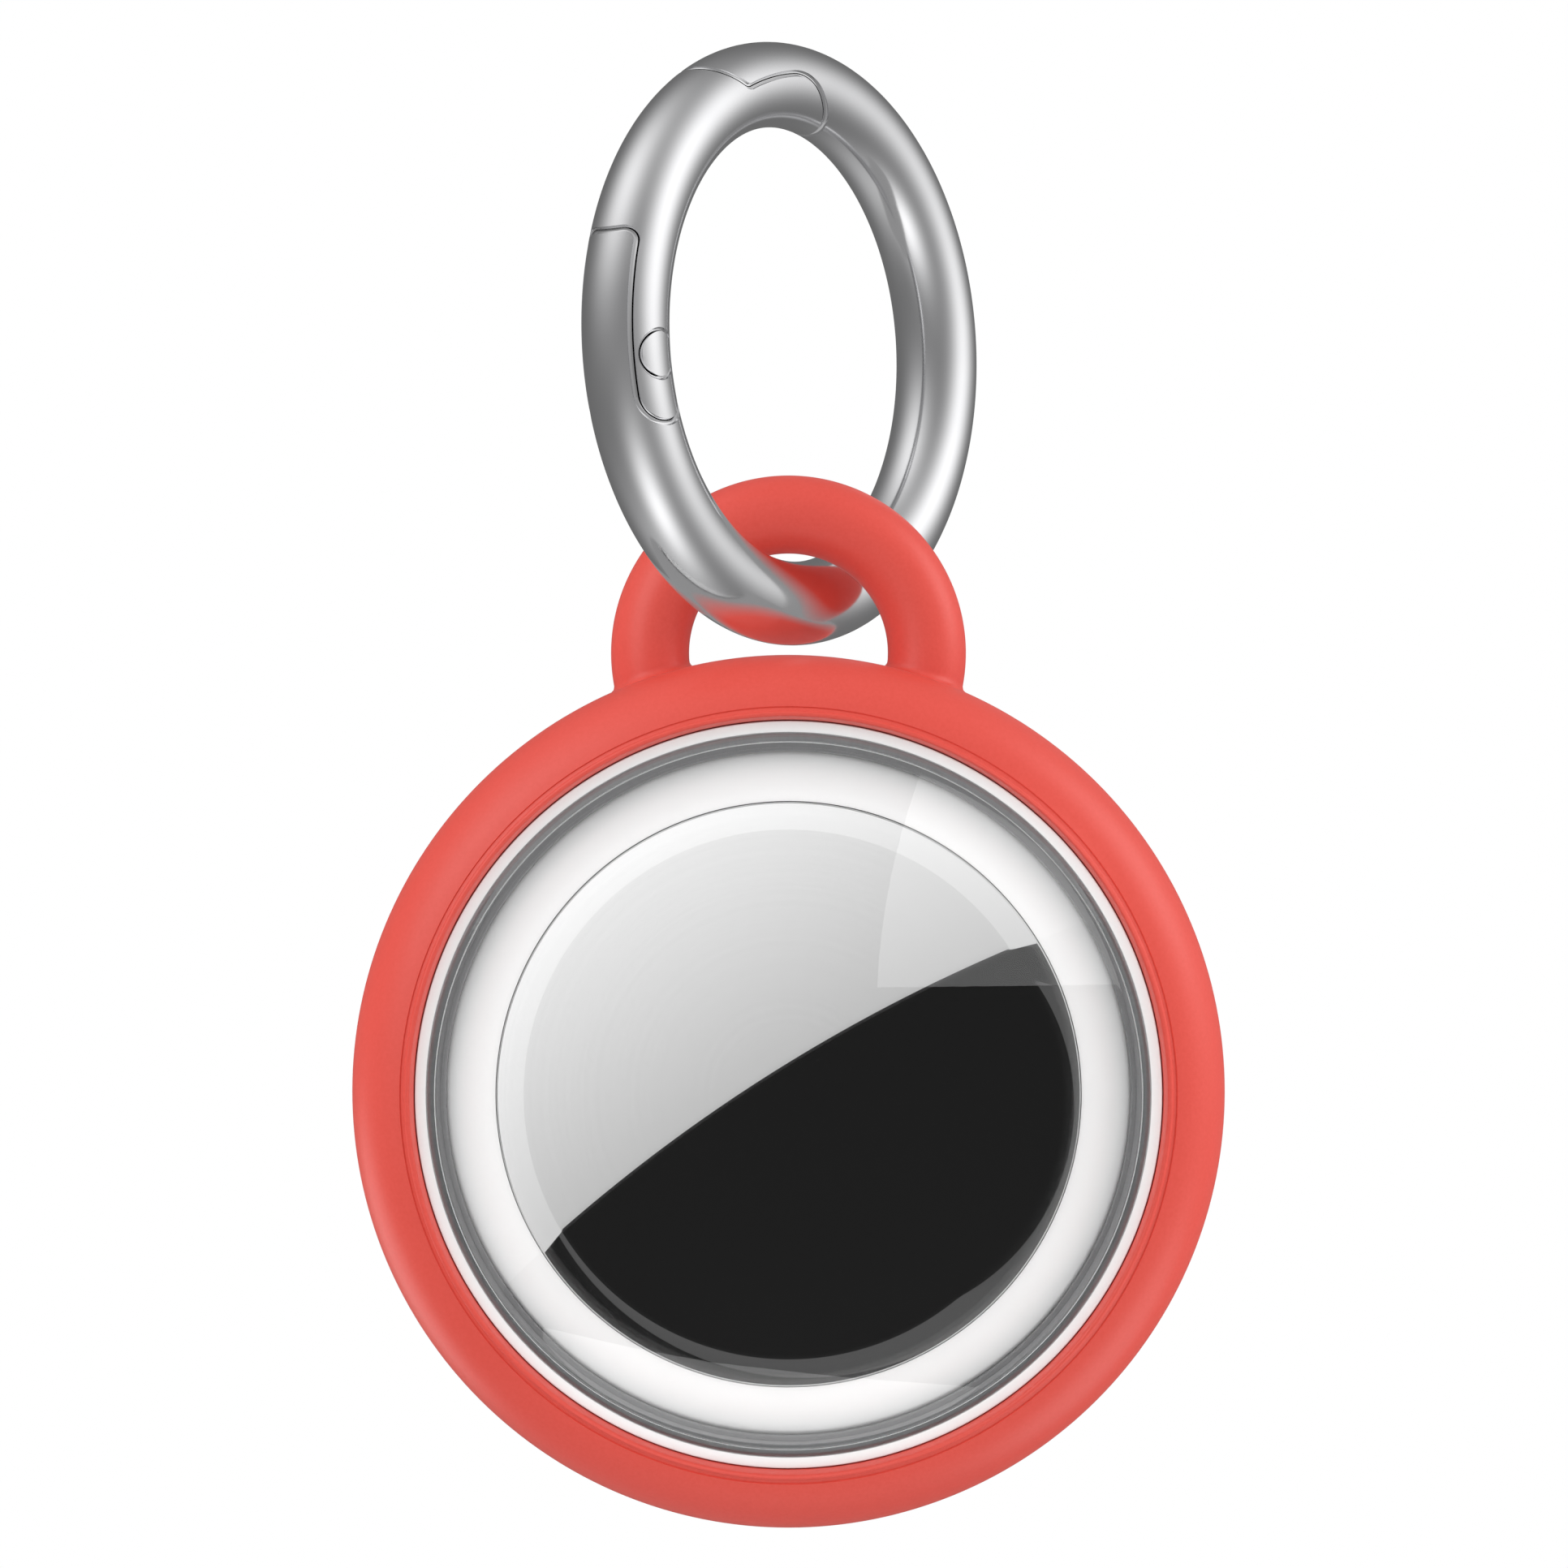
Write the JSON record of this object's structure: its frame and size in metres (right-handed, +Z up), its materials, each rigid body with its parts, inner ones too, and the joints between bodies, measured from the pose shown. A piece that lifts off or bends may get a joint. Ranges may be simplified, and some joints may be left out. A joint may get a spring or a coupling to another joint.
{
  "type": "tracker tag holder",
  "caption": "Round moulded holder with clear windows round a coin-cell tracker tag, its loop hung on a polished steel ring with a sprung gate.",
  "frame": {"origin": "centre of the steel ring's eye, which something holds", "axes": "+Z up, the holder's window faces -Y and +X is to the right; the ring is turned 53 degrees about Z"},
  "size_m": [0.0386, 0.0222, 0.066],
  "materials": {
    "polished_steel": "polished",
    "spring_steel": "drawn",
    "red_elastomer": "matte",
    "clear_polycarbonate": "clear",
    "grey_seal": "satin",
    "white_polycarbonate": "gloss",
    "mirror_steel": "mirror",
    "black_moulding": "moulded",
    "cell_steel": "satin",
    "contact_bronze": "plain",
    "board_laminate": "solder mask",
    "plated_magnet": "nickel plated"
  },
  "bodies": {
    "ring": {"ring_body": "polished_steel", "gate_pin": "polished_steel"},
    "gate": {"gate": "polished_steel", "gate_plunger": "spring_steel", "gate_spring": "spring_steel"},
    "case": {"band": "red_elastomer", "rear_cover": "clear_polycarbonate", "front_seal": "grey_seal", "rear_seal": "grey_seal", "tag_shell": "white_polycarbonate", "battery_tray": "black_moulding", "cell_can": "cell_steel", "cell_gasket": "black_moulding", "cell_cap": "cell_steel", "positive_contacts": "contact_bronze", "negative_contact": "contact_bronze", "circuit_board": "board_laminate", "shield_can": "spring_steel", "processor": "black_moulding", "antenna_carrier": "black_moulding", "speaker_magnet": "plated_magnet", "voice_coil": "contact_bronze"},
    "front_cover": {"front_cover": "clear_polycarbonate"},
    "battery_cover": {"battery_cover": "mirror_steel"}
  },
  "joints": [
    {"name": "gate_hinge", "type": "hinge", "parent": "ring", "child": "gate", "pos_m": [-0.00691, -0.00917, -0.00141], "axis": [-0.7986, 0.6018, 0], "range_deg": [0, 30], "stiffness_Nm_per_rad": 0.02, "springref_deg": -28.65},
    {"name": "case_swing", "type": "hinge", "parent": "ring", "child": "case", "pos_m": [0, 0, -0.01157], "axis": [0.6018, 0.7986, 0], "range_deg": [-50, 50]},
    {"name": "front_cover_off", "type": "slide", "parent": "case", "child": "front_cover", "axis": [0, -1, 0], "range_m": [0, 0.02]},
    {"name": "battery_cover_turn", "type": "hinge", "parent": "case", "child": "battery_cover", "pos_m": [0, -0.003, -0.03326], "axis": [0, -1, 0], "range_deg": [0, 30]}
  ]
}
